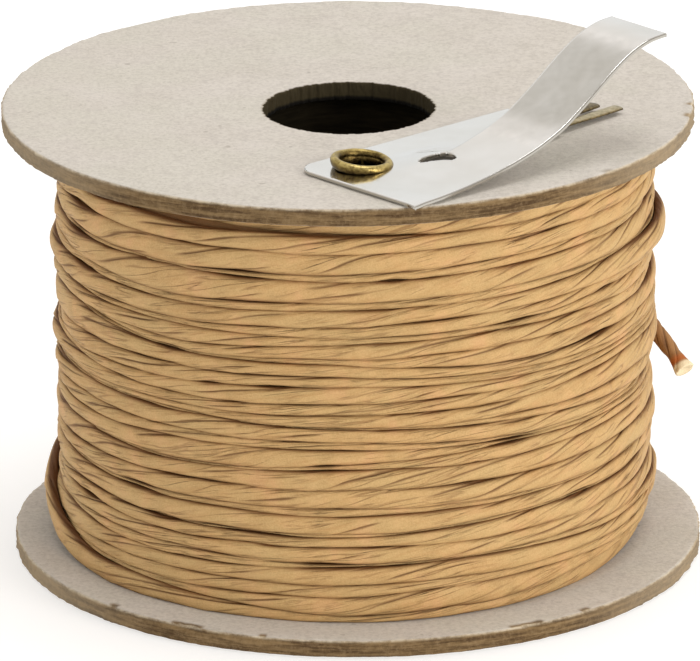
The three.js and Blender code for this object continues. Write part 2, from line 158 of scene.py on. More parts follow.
# Where a groove opens into a dark gap
GAPS = (
    # azimuth, height, half length in degrees, opening
    (236, 51.5, 20, 0.6),
    (207, 52.3, 16, 1.3),
    (204, 48.8, 12, 1.1),
    (203, 45.5, 9, 0.9),
    (206, 41.2, 8, 0.7),
    (265, 51.4, 8, 0.4),
    (246, 46.4, 16, 0.4),
    (277, 45.8, 4, 0.5),
    (302, 39.2, 10, 0.5),
    (326, 39.9, 5, 0.5),
    (343, 38.6, 6, 0.7),
    (232, 34.9, 5, 0.5),
    (324, 34.0, 10, 0.7),
    (305, 34.0, 12, 0.4),
    (241, 31.6, 5, 0.5),
    (254, 32.3, 5, 0.4),
    (346, 26.2, 6, 0.6),
    (301, 23.9, 8, 0.5),
    (264, 22.5, 5, 0.4),
    (345, 20.5, 6, 0.6),
    (224, 16.4, 8, 0.7),
    (318, 14.8, 6, 0.4),
    (230, 13.3, 6, 0.6),
    (250, 13.1, 14, 0.5),
    (208, 12.0, 6, 0.7),
    (341, 12.7, 10, 0.6),
    (264, 9.8, 12, 0.5),
    (343, 9.2, 5, 0.5),
    (335, 6.0, 6, 0.6),
    (352, 45.0, 8, 1.0),
    (350, 36.0, 8, 1.2),
    (354, 25.0, 8, 1.0),
    (352, 29.5, 6, 0.6),
)

# Places where turns stand off the winding or sink into it
SWELLS = (
    # azimuth, half length in degrees, height, half height, out
    (-4, 30, 42.2, 3.6, 1.35),
    (-4, 22, 38.0, 1.4, -0.9),
    (-2, 30, 31.5, 5.5, 0.5),
    (-3, 22, 24.9, 1.3, -1.0),
    (-3, 24, 28.2, 1.8, 0.3),
    (-3, 24, 20.3, 1.3, -1.0),
    (-3, 24, 17.6, 1.5, 0.4),
    (-3, 24, 14.4, 1.3, -0.9),
    (-3, 24, 47.2, 1.6, -0.5),
    (-2, 30, 9.6, 2.2, 0.7),
    (186, 24, 10.5, 1.6, -0.3),
    (182, 30, 39.5, 2.2, 0.5),
    (182, 26, 46.5, 2.0, -0.3),
    (180, 24, 31.3, 1.6, -0.6),
    (178, 24, 28.2, 2.0, 0.45),
    (176, 22, 21.0, 2.0, -1.0),
    (58, 22, 32.4, 2.4, -1.2),
    (335, 60, 1.5, 6.0, -2.6),
    (240, 70, 53.4, 2.0, -1.4),
)

# Where the twine lies smooth: azimuth, half length in degrees, height, half height, and its share
SMOOTH_SPOT = (312.0, 42.0, 5.0, 8.0)
SMOOTH_SHARE = 0.75

# The loose turn that lies at the foot of the winding, on its way down to the front
LOOSE_TURN = (
    # azimuth, upper edge, lower edge, how far it stands off
    (100.0, 15.5, 13.5, -1.2),
    (130.0, 13.6, 11.4, 0.5),
    (150.0, 12.1, 9.7, 1.4),
    (165.0, 10.8, 8.3, 1.65),
    (178.0, 9.1, 6.4, 1.65),
    (190.0, 7.5, 4.7, 1.4),
)
LOOSE_TURN_EASE = (
    # azimuth, how far it stands off
    (202.0, 0.85),
    (216.0, 0.45),
    (232.0, 0.2),
    (250.0, 0.0),
)

# The two runs of twine on the winding, and how far past its last row's zero azimuth a run ends
RUNS = (
    # row of its first groove, azimuth of its start, lead
    (32, LOOSE_TURN[0][0], LOOSE_TURN),
    (31, -24.0, ()),
)
RUN_END = 556.0

# Loose end of the twine, from the winding to its cut tip
TWINE_DIAMETER = 2.0
LOOSE_LENGTH = 36.8
LOOSE_ROUTE = (
    (17.05, 32.9, 32.8),
    (19.5, 31.9, 32.5),
    (21.7, 30.5, 32.1),
    (23.8, 29.1, 31.5),
    (25.7, 27.6, 30.7),
    (27.6, 26.0, 29.8),
    (29.4, 24.3, 28.8),
    (31.2, 22.4, 27.7),
    (32.9, 20.5, 26.5),
    (34.6, 18.6, 25.2),
    (36.25, 16.8, 23.8),
    (37.8, 15.1, 22.3),
    (39.2, 13.5, 20.9),
    (40.5, 12.0, 19.5),
    (41.5, 10.8, 18.3),
)

# Chips out of the boards' rims
LOWER_CHIPS = (
    # azimuth, half length in degrees, depth, level under the face
    (225, 1.4, 0.45, -0.2),
    (240.5, 4.2, 0.75, -0.2),
    (299, 4.6, 0.7, -0.2),
    (311, 2.0, 0.35, -0.2),
    (254, 1.5, 0.25, -0.1),
)
UPPER_CHIPS = (
    (352, 1.8, 0.35, -0.2),
    (358, 1.5, 0.3, -0.3),
    (222, 3.0, 0.25, -2.0),
    (238, 5.0, 0.3, -2.1),
    (290, 4.0, 0.2, -2.1),
    (318, 3.0, 0.2, -0.3),
)

# Cutter plate, in its own plan: s runs along it from the corner on the rim, a runs across it
PLATE_CORNER = (8.01, -43.2)
PLATE_TURN = 41.5
SHEET = 0.5
SHEET_EASE = 0.12
SHEET_GAP = 0.12
PLATE_LENGTH = 41.0
PLATE_WIDTH = 20.9
TONGUE_WIDTH = 9.8
SLIT_WIDTH = 0.45
SLIT_ROOT = 13.2
SLIT_EASE = 8.0
FLAT_LENGTH = 34.0
SHORT_EDGE_SKEW = 0.65
CORNER_ROUND = 2.6

# Height of the tongue's upper face over the board, along s
TONGUE_RISE = (
    # s, height
    (-2.0, 0.62),
    (0.0, 0.62),
    (4.0, 0.75),
    (8.0, 1.1),
    (12.0, 1.65),
    (16.0, 2.45),
    (20.0, 3.55),
    (24.0, 5.15),
    (28.0, 7.7),
    (32.0, 10.5),
    (35.0, 12.25),
    (38.0, 13.3),
    (41.0, 13.5),
    (43.0, 13.45),
)

# Bean-shaped relief hole at the slit's root
RELIEF_CENTRE = (11.9, 9.3)
RELIEF_LENGTH = 4.5
RELIEF_WIDTH = 1.7
RELIEF_TURN = -46.0
RELIEF_BEND = 1.0

# Eyelet, and its holes in the sheet and in the board
EYELET_CENTRE = (5.4, 15.6)
EYELET_TILT = 6.0
EYELET_SHEET_HOLE = 2.75
EYELET_BOARD_HOLE = 3.1
EYELET_SEGMENTS = 128
RING_RADIUS = 3.26
RING_ROLL = 0.56
RING_LIFT = 0.74

# Split pin, its hole in the board and its notch in the sheet
PIN_CENTRE = (30.6, 10.6)
PIN_HOLE = 1.3
PIN_NOTCH = (29.1, 12.3)
PIN_LEGS = (
    # reach, turn from the plate's length, width, thickness, height at the bend, at the end, share of painted
    # light on top
    (13.4, 5.3, 1.5, 0.5, 0.8, 0.65, 0.8),
    (12.2, 17.9, 1.6, 0.6, 1.5, 0.75, 0.05),
)


# Numbers

def srgb(red, green, blue):
    """A colour of 0 to 255 in each channel, as linear values with an alpha of one."""
    channels = np.array((red, green, blue)) / 255.0
    linear = np.where(channels <= 0.04045, channels / 12.92, ((channels + 0.055) / 1.055) ** 2.4)
    return (*(float(c) for c in linear), 1.0)


def smoothstep(value, low, high):
    """0 below low, 1 above high, and a smooth S between."""
    t = np.clip((value - low) / (high - low), 0.0, 1.0)
    return t * t * (3 - 2 * t)


def hump(distance):
    """A soft hump: the squared cosine, 1 in the middle and 0 at a distance of one and beyond."""
    return np.cos(np.minimum(np.abs(distance), 1.0) * math.pi / 2) ** 2


def full_turn(count):
    """Angles round a circle, evenly spaced from zero."""
    return np.linspace(0, 2 * math.pi, count, endpoint=False)


def rotated(x, y, degrees):
    """Two coordinates turned from the first axis to the second."""
    turn = math.radians(degrees)
    return x * math.cos(turn) - y * math.sin(turn), x * math.sin(turn) + y * math.cos(turn)


def stacked(*parts):
    """Arrays brought to one shape and stacked along a new last axis."""
    return np.stack(np.broadcast_arrays(*parts), -1)


def away_from(azimuth, centre):
    """Degrees from the centre to an azimuth, between -180 and 180."""
    return (azimuth - centre + 180.0) % 360.0 - 180.0


def wander(x, length, seed):
    """A smooth random curve from -1 to 1: random knots a length apart, eased into each other."""
    knots = np.random.default_rng(seed).uniform(-1, 1, 4096)
    cell = np.floor(x / length).astype(int)
    ease = smoothstep(x / length - cell, 0.0, 1.0)
    return knots[cell % 4096] * (1 - ease) + knots[(cell + 1) % 4096] * ease


def mottle(u, v, around, seed):
    """A smooth random surface from -1 to 1: a lattice of random knots one unit apart, eased both
    ways, that repeats after a whole number of units around."""
    knots = np.random.default_rng(seed).uniform(-1, 1, (around, 512))
    i, j = np.floor(u).astype(int), np.floor(v).astype(int)
    p, q = smoothstep(u - i, 0.0, 1.0), smoothstep(v - j, 0.0, 1.0)
    i0, i1, j0, j1 = i % around, (i + 1) % around, j % 512, (j + 1) % 512
    near = knots[i0, j0] * (1 - p) + knots[i1, j0] * p
    far = knots[i0, j1] * (1 - p) + knots[i1, j1] * p
    return near * (1 - q) + far * q


def smooth_curve(x, stations, values, spread):
    """Straight lines between the stations, averaged twice over a spread of samples."""
    curve = np.interp(x, stations, values)
    window = np.ones(spread) / spread
    for _ in range(2):
        curve = np.convolve(np.pad(curve, spread // 2, mode="edge"), window, mode="valid")
    return curve


# Meshes

def grid_faces(rows, columns, wrap_rows=False, wrap_columns=False):
    """Quads of a grid of points stored row by row, closed in either direction where asked."""
    i = np.arange(rows if wrap_rows else rows - 1)[:, None]
    j = np.arange(columns if wrap_columns else columns - 1)
    ahead, beside = (i + 1) % rows, (j + 1) % columns
    quads = (i * columns + j, i * columns + beside, ahead * columns + beside, ahead * columns + j)
    return np.stack(quads, -1).reshape(-1, 4)


def faced_outward(points, faces):
    """The faces of a closed form, all turned over where the volume that they enclose is negative."""
    corners = np.asarray(points, float).reshape(-1, 3)[faces]
    sides = [np.cross(corners[:, k], corners[:, k + 1]) for k in range(1, faces.shape[1] - 1)]
    return faces if (corners[:, 0] * sum(sides)).sum() > 0 else faces[:, ::-1]


def merge_poles(mesh):
    """Points at one place made one point, which closes the poles."""
    shell = bmesh.new()
    shell.from_mesh(mesh)
    bmesh.ops.remove_doubles(shell, verts=shell.verts, dist=1e-7)
    shell.to_mesh(mesh)
    shell.free()


def in_scene(name, data):
    """A new object with the data, put into the scene."""
    thing = bpy.data.objects.new(name, data)
    bpy.context.scene.collection.objects.link(thing)
    return thing


def mesh_piece(name, points, faces, finish, slot, replaces, flat_from=0, poles=False, **attributes):
    """A piece that replaces nodes, from points in millimetres and faces of one size, with its
    attributes on points. Where flat_from is given, faces from that number on are shaded flat."""
    mesh = bpy.data.meshes.new(name)
    faces = faced_outward(points, faces)
    points = np.asarray(points, np.float32).reshape(-1, 3) * MM
    size = faces.shape[1]
    mesh.vertices.add(len(points))
    mesh.vertices.foreach_set("co", points.ravel())
    mesh.loops.add(faces.size)
    mesh.loops.foreach_set("vertex_index", faces.astype(np.int32).ravel())
    mesh.polygons.add(len(faces))
    mesh.polygons.foreach_set("loop_start", np.arange(0, faces.size, size, dtype=np.int32))
    mesh.update(calc_edges=True)
    mesh.validate()
    for label, values in attributes.items():
        values = np.asarray(values, np.float32)
        kind = "FLOAT_VECTOR" if values.ndim == 2 else "FLOAT"
        field = "vector" if values.ndim == 2 else "value"
        mesh.attributes.new(label, kind, "POINT").data.foreach_set(field, values.ravel())
    if poles:
        merge_poles(mesh)
    smooth = np.ones(len(mesh.polygons), bool)
    if flat_from:
        smooth[flat_from:] = False
    mesh.polygons.foreach_set("use_smooth", smooth)
    mesh.materials.append(finish)
    piece = in_scene(name, mesh)
    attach(piece, "root")
    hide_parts(*replaces)
    return piece


def turned(profile, segments, centre=(0.0, 0.0)):
    """A closed profile of (radius, height) turned about an upright axis at the centre."""
    radius, height = np.asarray(profile, float).T
    turn = full_turn(segments)[:, None]
    return stacked(centre[0] + radius * np.cos(turn), centre[1] + radius * np.sin(turn), height)


def on_upper_board(points):
    """From the upper board's frame, with z = 0 on its upper face, to the part's."""
    x, y, z = np.moveaxis(np.asarray(points, float), -1, 0)
    x, z = rotated(x, z, UPPER_TILT)
    return stacked(x - BOARD_SHIFT, y, z + HEIGHT)


def on_lower_board(points):
    """From the lower board's frame, with z = 0 on its upper face, to the part's."""
    return points + np.array((BOARD_SHIFT, 0.0, BOARD))


def on_plate(s, a, height):
    """From the plate's plan to the upper board's frame."""
    x, y = rotated(s, a, PLATE_TURN)
    return stacked(PLATE_CORNER[0] + x, PLATE_CORNER[1] + y, height)


# Finishes

class Finish:
    """A material whose nodes are put in one at a time."""

    def __init__(self, name, roughness, metallic=0.0, specular=0.5):
        self.material = bpy.data.materials.new(name)
        self.material.use_nodes = True
        self.tree = self.material.node_tree
        self.shader = self.tree.nodes["Principled BSDF"]
        self.shader.inputs["Roughness"].default_value = roughness
        self.shader.inputs["Metallic"].default_value = metallic
        self.shader.inputs["Specular IOR Level"].default_value = specular

    def add(self, kind, inputs=(), **settings):
        node = self.tree.nodes.new("ShaderNode" + kind)
        for key, value in settings.items():
            setattr(node, key, value)
        for key, value in dict(inputs).items():
            self.put(node.inputs[key], value)
        return node

    def put(self, socket, value):
        if isinstance(value, bpy.types.NodeSocket):
            self.tree.links.new(value, socket)
        else:
            socket.default_value = value

    def objects(self, scale=(1, 1, 1)):
        """Object coordinates, stretched."""
        return self.stretched(self.add("TexCoord").outputs["Object"], scale)

    def attribute(self, name, output="Fac"):
        return self.add("Attribute", attribute_name=name).outputs[output]

    def stretched(self, vector, scale):
        return self.add("Mapping", {"Vector": vector, "Scale": scale}).outputs["Vector"]

    def noise(self, vector, scale, detail=2.0, roughness=0.5):
        inputs = {"Vector": vector, "Scale": scale, "Detail": detail, "Roughness": roughness}
        return self.add("TexNoise", inputs).outputs["Fac"]

    def ramp(self, value, *stops):
        """A colour ramp through stops of (place, colour)."""
        node = self.add("ValToRGB", {"Fac": value})
        elements = node.color_ramp.elements
        for _ in range(len(stops) - 2):
            elements.new(0.5)
        for element, (place, colour) in zip(elements, stops):
            element.position = place
            element.color = colour
        return node.outputs["Color"]

    def spread(self, value, low, high, start=0.0, end=1.0):
        """The value's range from low to high, spread over start to end."""
        inputs = {"Value": value, "From Min": low, "From Max": high, "To Min": start, "To Max": end}
        return self.add("MapRange", inputs).outputs["Result"]

    def mix(self, share, first, second):
        """Two colours mixed, by a node whose colours are inputs 6 and 7 and output 2."""
        return self.add("Mix", {0: share, 6: first, 7: second}, data_type="RGBA").outputs[2]

    def tinted(self, colour, value, low, high, most, rgb):
        """The colour, mixed up to a share with another as the value goes from low to high."""
        return self.mix(self.spread(value, low, high, 0.0, most), colour, srgb(*rgb))

    def marked(self, colour, mark, strength, rgb):
        """The colour, mixed with another where a mark is, up to a strength."""
        return self.mix(self.math("MULTIPLY", mark, strength), colour, srgb(*rgb))

    def math(self, operation, first, second=0.0):
        return self.add("Math", {0: first, 1: second}, operation=operation).outputs[0]

    def bump(self, *reliefs):
        """Bumps over each other, each a height from 0 to 1 and its depth in metres."""
        normal = None
        for height, depth in reliefs:
            node = self.add("Bump", {"Height": height, "Distance": depth, "Strength": 1.0})
            if normal is not None:
                self.put(node.inputs["Normal"], normal)
            normal = node.outputs["Normal"]
        self.put(self.shader.inputs["Normal"], normal)

    def lines(self, value, width):
        """1 where the value crosses a half, and down to 0 a width away from it."""
        away = self.math("ABSOLUTE", self.math("SUBTRACT", value, 0.5))
        return self.spread(away, 0.0, width, 1.0, 0.0)

    def colour(self, value):
        self.put(self.shader.inputs["Base Color"], value)

    def roughness(self, value):
        self.put(self.shader.inputs["Roughness"], value)


def kraft_paper():
    """Brown twisted paper: wrinkles and sharp fold lines that follow the twist, olive and rosy
    patches, a fine grain, and painted shade: darker fold lines and creases, and darker down in the grooves."""
    paper = Finish("kraft_paper", roughness=0.66, specular=0.3)
    lay = paper.attribute("lay", "Vector")
    place = paper.objects()
    wrinkles = paper.noise(paper.stretched(lay, (0.16, 1.9, 1.9)), 1.0, 3.0, 0.6)
    folds = paper.lines(paper.noise(paper.stretched(lay, (0.07, 1.3, 1.3)), 1.0, 1.5, 0.55), 0.03)
    short = paper.lines(paper.noise(paper.stretched(lay, (0.17, 2.6, 2.6)), 1.0, 1.5), 0.045)
    some = paper.spread(paper.noise(paper.stretched(lay, (0.09, 0.6, 0.6)), 1.3, 1.0), 0.47, 0.6)
    folds = paper.math("MULTIPLY", folds, some)
    few = paper.spread(paper.noise(paper.stretched(lay, (0.14, 0.7, 0.7)), 1.7, 1.0), 0.52, 0.62)
    short = paper.math("MULTIPLY", short, few)
    patches = paper.noise(place, 330.0, 2.0, 0.6)
    drift = paper.noise(paper.objects((1, 1, 2.2)), 130.0, 2.0)
    grain = paper.noise(place, 5200.0, 2.0, 0.7)
    colour = paper.ramp(patches, (0.35, srgb(178, 141, 90)), (0.52, srgb(190, 150, 97)),
                        (0.68, srgb(198, 152, 103)))
    colour = paper.tinted(colour, drift, 0.35, 0.65, 0.6, (184, 154, 102))
    colour = paper.tinted(colour, grain, 0.35, 0.7, 0.4, (220, 184, 130))
    colour = paper.tinted(colour, wrinkles, 0.5, 0.7, 0.35, (164, 120, 70))
    # Painted shade: fold lines, short folds and creases are painted darker brown.
    colour = paper.marked(colour, folds, 0.5, (116, 78, 40))
    colour = paper.marked(colour, short, 0.32, (122, 82, 42))
    colour = paper.tinted(colour, paper.attribute("crease"), 0.1, 0.85, 0.8, (100, 64, 30))
    # Painted shade: the colour goes dark brown down in the grooves.
    paper.colour(paper.mix(paper.attribute("deep"), colour, srgb(104, 65, 29)))
    paper.bump((wrinkles, 0.00028), (paper.math("SUBTRACT", 1.0, folds), 0.00007),
               (paper.math("SUBTRACT", 1.0, short), 0.00004), (grain, 0.00002))
    return paper.material


def greyboard():
    """Grey board with clouds, grain and sparse flecks on its faces, a brown layered cut edge with a
    torn pale lip, painted light that makes the cut edge paler at the left and right, and painted
    shade that makes the hole darker, near black at its foot."""
    board = Finish("greyboard", roughness=0.9, specular=0.2)
    place = board.objects()
    cloud = board.noise(place, 120.0, 3.0, 0.6)
    tint = board.noise(board.objects((1.0, 1.0, 0.3)), 70.0, 2.0, 0.5)
    grain = board.noise(place, 1900.0, 3.0, 0.75)
    coarse = board.noise(place, 800.0, 3.0, 0.65)
    flecks = board.noise(place, 700.0, 1.0)
    face = board.ramp(cloud, (0.3, srgb(198, 191, 182)), (0.7, srgb(208, 201, 194)))
    face = board.tinted(face, tint, 0.45, 0.6, 0.4, (200, 197, 184))
    face = board.tinted(face, grain, 0.4, 0.7, 0.6, (220, 214, 205))
    face = board.tinted(face, grain, 0.5, 0.25, 0.5, (176, 170, 160))
    face = board.tinted(face, coarse, 0.5, 0.75, 0.5, (184, 177, 170))
    face = board.tinted(face, flecks, 0.75, 0.8, 0.4, (140, 130, 120))
    layers = board.noise(board.objects((0.07, 0.07, 1.0)), 1700.0, 4.0, 0.7)
    clumps = board.noise(place, 1500.0, 4.0, 0.8)
    cut = board.ramp(layers, (0.38, srgb(76, 56, 34)), (0.62, srgb(130, 106, 73)))
    cut = board.tinted(cut, clumps, 0.48, 0.7, 0.4, (150, 127, 95))
    cut = board.tinted(cut, clumps, 0.48, 0.3, 0.4, (70, 54, 36))
    frayed = board.spread(board.noise(place, 430.0, 4.0, 0.75), 0.38, 0.6, 0.1, 0.95)
    # Painted light: the cut edge is painted paler towards the rim's left and right.
    cut = board.marked(cut, board.attribute("pale"), 0.4, (180, 165, 140))
    cut = board.marked(cut, board.attribute("lip"), frayed, (200, 186, 162))
    # Painted shade: the hole's wall is painted darker, near black at its foot.
    bore = board.attribute("bore")
    cut = board.tinted(cut, bore, 0.0, 0.5, 1.0, (62, 54, 36))
    cut = board.tinted(cut, bore, 0.5, 1.0, 1.0, (20, 17, 12))
    board.colour(board.mix(board.attribute("rim"), face, cut))
    board.bump((grain, 0.00005), (clumps, 0.00005))
    return board.material


def tube_board_painted_shade():
    """Tube board painted near-black brown, as painted shade inside the spool, with the faint edge of its
    wound strip.
    """
    tube = Finish("tube_board_painted_shade", roughness=0.95, specular=0.1)
    mould = tube.noise(tube.objects((1, 1, 6)), 400.0, 3.0)
    # Painted shade: the whole tube is painted near-black brown.
    tube.colour(tube.ramp(mould, (0.3, srgb(26, 22, 14)), (0.7, srgb(42, 36, 24))))
    tube.bump((mould, 0.00005))
    return tube.material


def plate_metal():
    """Bright sheet with a soft reflection, a few clouds and a duller sheared edge."""
    metal = Finish("plate_metal", roughness=0.1, metallic=1.0)
    cloud = metal.noise(metal.objects(), 180.0, 2.0)
    rub = metal.noise(metal.objects(), 900.0, 3.0, 0.6)
    face = metal.ramp(cloud, (0.3, srgb(238, 237, 234)), (0.7, srgb(246, 246, 245)))
    metal.colour(metal.mix(metal.attribute("cut"), face, srgb(186, 182, 174)))
    metal.roughness(metal.spread(rub, 0.3, 0.7, 0.1, 0.2))
    metal.bump((cloud, 0.00004))
    return metal.material


def pin_metal():
    """Pin strip, dark olive with patina, painted pale on top as painted light from above."""
    metal = Finish("pin_metal", roughness=0.42, metallic=1.0)
    patches = metal.noise(metal.objects(), 1500.0, 3.0, 0.65)
    old = metal.ramp(patches, (0.35, srgb(72, 58, 34)), (0.65, srgb(142, 124, 84)))
    wear_and_shading = metal.ramp(patches, (0.3, srgb(176, 162, 126)), (0.6, srgb(216, 205, 174)))
    # Painted light: the upper side is mixed towards the pale colour.
    metal.colour(metal.mix(metal.attribute("worn"), old, wear_and_shading))
    metal.bump((patches, 0.00003))
    return metal.material


def old_brass():
    """Antique brass, bright with wear on the crowns, dark with patina elsewhere, and painted shade down the
    barrel.
    """
    brass = Finish("old_brass", roughness=0.35, metallic=1.0)
    worn = brass.attribute("worn")
    patches = brass.noise(brass.objects(), 2300.0, 3.0, 0.65)
    # Down the barrel the share falls below zero and paints the brass near black, as painted shade.
    share = brass.math("ADD", brass.math("MULTIPLY", worn, 0.8), brass.spread(patches, 0.3, 0.7, -0.2, 0.3))
    brass.colour(brass.ramp(share, (0.0, srgb(26, 20, 11)), (0.12, srgb(78, 62, 34)),
                            (0.55, srgb(140, 120, 70)), (0.95, srgb(206, 186, 122))))
    brass.roughness(brass.spread(patches, 0.3, 0.7, 0.3, 0.5))
    brass.bump((patches, 0.00004))
    return brass.material


# Twine

def section(theta, half_height, thickness):
    """A rounded box section: cosine and sine drawn out by the power 2/2.3, as up and outward."""
    power = 2 / 2.3
    up = half_height * np.sign(np.cos(theta)) * np.abs(np.cos(theta)) ** power
    out = thickness * np.sign(np.sin(theta)) * np.abs(np.sin(theta)) ** power
    return up, out


def paper_angles():
    """Angles round the paper, fixed to it: three close together at each crease and two between,
    each with its shares of the creases at both sides."""
    ring = (*CREASE_ANGLES, CREASE_ANGLES[0] + 2 * math.pi)
    angles, shares = [], []
    for k, (first, second) in enumerate(zip(ring, ring[1:])):
        span = second - first
        for angle in (first, first + 0.14, first + span * 0.38, first + span * 0.65, second - 0.16):
            away = (angle - first) / span
            share = np.zeros(len(CREASE_ANGLES))
            share[k], share[(k + 1) % len(CREASE_ANGLES)] = 1 - away, away
            angles.append(angle)
            shares.append(share)
    return np.array(angles), np.array(shares)


def crease_shape(angles, crease):
    """Across a crease: the upper ply swells up to its edge, drops into a groove, and the lower ply
    starts from below."""
    away = (angles - crease + math.pi) % (2 * math.pi) - math.pi
    groove = -np.exp(-(away / 0.09) ** 2)
    ply = np.where(away < 0, 0.5 * np.exp(away / 0.4), -0.3 * np.exp(-away / 0.35))
    return ply + groove, np.exp(-(away / 0.1) ** 2)


def crease_relief(length, angles, seed):
    """Depth of the creases over the length and round the paper: each comes and goes at random."""
    relief = np.zeros((len(length), len(angles)))
    # mark holds where each crease's line is painted darker, as painted shade.
    mark = np.zeros_like(relief)
    for k, (crease, depth) in enumerate(zip(CREASE_ANGLES, CREASE_DEPTHS)):
        present = smoothstep(wander(length, 6.0, seed + 10 * k), -0.3, 0.6)
        shape, line = crease_shape(angles, crease)
        relief += depth * present[:, None] * shape
        mark += present[:, None] * line
    return relief, np.clip(mark, 0, 1)


def swell_at(azimuth, height):
    """How far the turns stand out at an azimuth in degrees and a height: the sum of soft humps."""
    out = np.zeros(np.broadcast(azimuth, height).shape)
    for centre, along, middle, across, amount in SWELLS:
        out += amount * hump(away_from(azimuth, centre) / along) * hump((height - middle) / across)
    return out


def opened(azimuth, edge, side):
    """A strand's edge drawn back from the dark gaps that it borders, upwards for side +1."""
    drawn = np.zeros_like(edge)
    for centre, middle, along, opening in GAPS:
        near = hump((edge - middle) / GAP_REACH)
        drawn += GAP_SHARE * opening * hump(away_from(azimuth, centre) / along) * near
    return edge + side * drawn


def strand_edges(first_row, azimuth, lead):
    """Upper and lower edge of a run of twine that climbs two grooves a turn, and how far it stands
    off. A lead brings the run in. The edges follow the grooves' table across the front and run
    straight from one row to the next round the back, where they also drift up and down."""
    rows = np.arange(first_row, -1, -2)
    table = np.array(GROOVES)
    stations = (360.0 * np.arange(len(rows))[:, None] + np.array(GROOVE_AZIMUTHS)).ravel()
    lead = np.array(lead).reshape(-1, 4)
    stations = np.concatenate([lead[:, 0], stations])
    upper = smooth_curve(azimuth, stations, np.concatenate([lead[:, 1], table[rows].ravel()]), 13)
    lower = smooth_curve(azimuth, stations, np.concatenate([lead[:, 2], table[rows + 1].ravel()]), 13)
    round_back = 0.5 + 0.5 * np.sin(np.radians(azimuth))
    inside = smoothstep(upper, WIND_LOW, WIND_LOW + 4) * (1 - smoothstep(upper, WIND_HIGH - 4, WIND_HIGH))
    inside = inside * smoothstep(azimuth, 200, 340)
    turn = np.radians(azimuth)

    def drifted(edge):
        drift = np.sin(2 * turn + 0.9 * edge) + 0.8 * np.sin(5 * turn - 1.7 * edge)
        return edge + 0.42 * round_back * inside * drift

    upper, lower = drifted(upper), drifted(lower)
    stand = np.zeros_like(azimuth)
    if len(lead):
        ease = np.array(LOOSE_TURN_EASE)
        stand = smooth_curve(azimuth, np.concatenate([lead[:, 0], ease[:, 0]]),
                             np.concatenate([lead[:, 3], ease[:, 1]]), 9)
    return opened(azimuth, upper, -1), opened(azimuth, lower, 1), stand


def closed_ends(rings):
    """Rings with one more at each end, drawn in to the middle of the ring that it closes."""
    first, last = rings[:1].mean(axis=1, keepdims=True), rings[-1:].mean(axis=1, keepdims=True)
    return np.concatenate([np.broadcast_to(first, rings[:1].shape), rings,
                           np.broadcast_to(last, rings[-1:].shape)])


def strand_run(first_row, start, lead, seed):
    """A run of twine as rings of points along it. A ring stands upright across the run: a rounded
    box section as high as the strand shows, which lies lower where its neighbours cover it, with
    creases that turn with the paper's twist and stray a little from it."""
    turns = (first_row + 2) // 2
    azimuth = np.arange(start, 360.0 * (turns - 1) + RUN_END, STRAND_STEP)
    upper, lower, stand = strand_edges(first_row, azimuth, lead)
    width = np.maximum(upper - lower, 0.05)
    length = np.radians(azimuth) * CROWN_RADIUS
    middle = (upper + lower) / 2 + 0.08 * wander(length, 6.0, seed + 2)
    half_height = width / 2 * (1.04 + 0.05 * wander(length, 5.0, seed + 1)) + 0.05
    thickness = STRAND_THICKNESS * (0.6 + 0.4 * smoothstep(width, 0.2, 1.6))
    sink = STRAND_SINK * (1 - np.clip(width / STRAND_FULL_WIDTH, 0, 1)) ** 1.3
    ends = smoothstep(azimuth, azimuth[0], azimuth[0] + RUN_ENDING)
    ends = ends * (1 - smoothstep(azimuth, azimuth[-1] - RUN_ENDING, azimuth[-1]))
    swell = swell_at(azimuth, middle) * (1 - smoothstep(stand, 0.0, 0.5)) + stand
    crown = CROWN_RADIUS + swell - sink - RUN_ENDING_DEPTH * (1 - ends)
    crown += 0.14 * wander(length, 11.0, seed + 3) + 0.06 * wander(length, 3.5, seed + 7)
    base, shares = paper_angles()
    stray = np.stack([0.4 * wander(length, 8.0, seed + 20 + k) for k in range(len(CREASE_ANGLES))], -1)
    angles = base + stray @ shares.T
    twist = 2 * math.pi * length / TWIST_PITCH + 0.5 * wander(length, 11.0, seed + 4)
    theta = angles - twist[:, None]
    relief, mark = crease_relief(length, base, seed + 5)
    lobes = 1 + 0.05 * np.cos(2 * base) + 0.03 * wander(length, 6.0, seed + 6)[:, None]
    up, out = section(theta, half_height[:, None] * lobes, thickness[:, None] * lobes)
    centre, along, level, across = SMOOTH_SPOT
    smooth = hump(away_from(azimuth, centre) / along) * hump((middle - level) / across)
    fade = (smoothstep(width, 0.3, 1.5) * (1 - SMOOTH_SHARE * smooth))[:, None]
    swollen = 1 + relief * fade / np.hypot(up, out)
    radius = (crown - thickness)[:, None] + out * swollen
    turn = np.radians(azimuth)[:, None]
    height = middle[:, None] + up * swollen
    points = stacked(WIND_CENTRE_X + radius * np.cos(turn), radius * np.sin(turn), height)
    lay = stacked(length[:, None], np.cos(angles), np.sin(angles))
    # Painted shade: the farther a point lies below the crown, the darker it is painted.
    below = 0.75 * (crown[:, None] - radius) + 0.25 * ((CROWN_RADIUS + swell)[:, None] - radius)
    deep = smoothstep(below, 0.15, 0.6)
    return points, lay, mark * fade, deep


def strand_pieces(finish):
    """Both runs of twine, each cut into two pieces that meet in one shared ring. The run that
    begins at the foot of the winding has the loose turn as its lead."""
    for run, (first_row, start, lead) in enumerate(RUNS):
        points, lay, mark, deep = strand_run(first_row, start, lead, 100 * (run + 1))
        cut = len(points) // 2
        for half, rings in enumerate((slice(0, cut + 1), slice(cut, None))):
            name = f"twine_turns_{run + 1}{'ab'[half]}"
            # The fourth array is the grooves' painted shade.
            shape, along, creases, depth = (closed_ends(k[rings]) for k in (points, lay, mark, deep))
            faces = grid_faces(*depth.shape, wrap_columns=True)
            mesh_piece(name, shape, faces, finish, "kraft_twine", ("winding",), poles=True,
                       lay=along.reshape(-1, 3), crease=creases.ravel(), deep=depth.ravel())


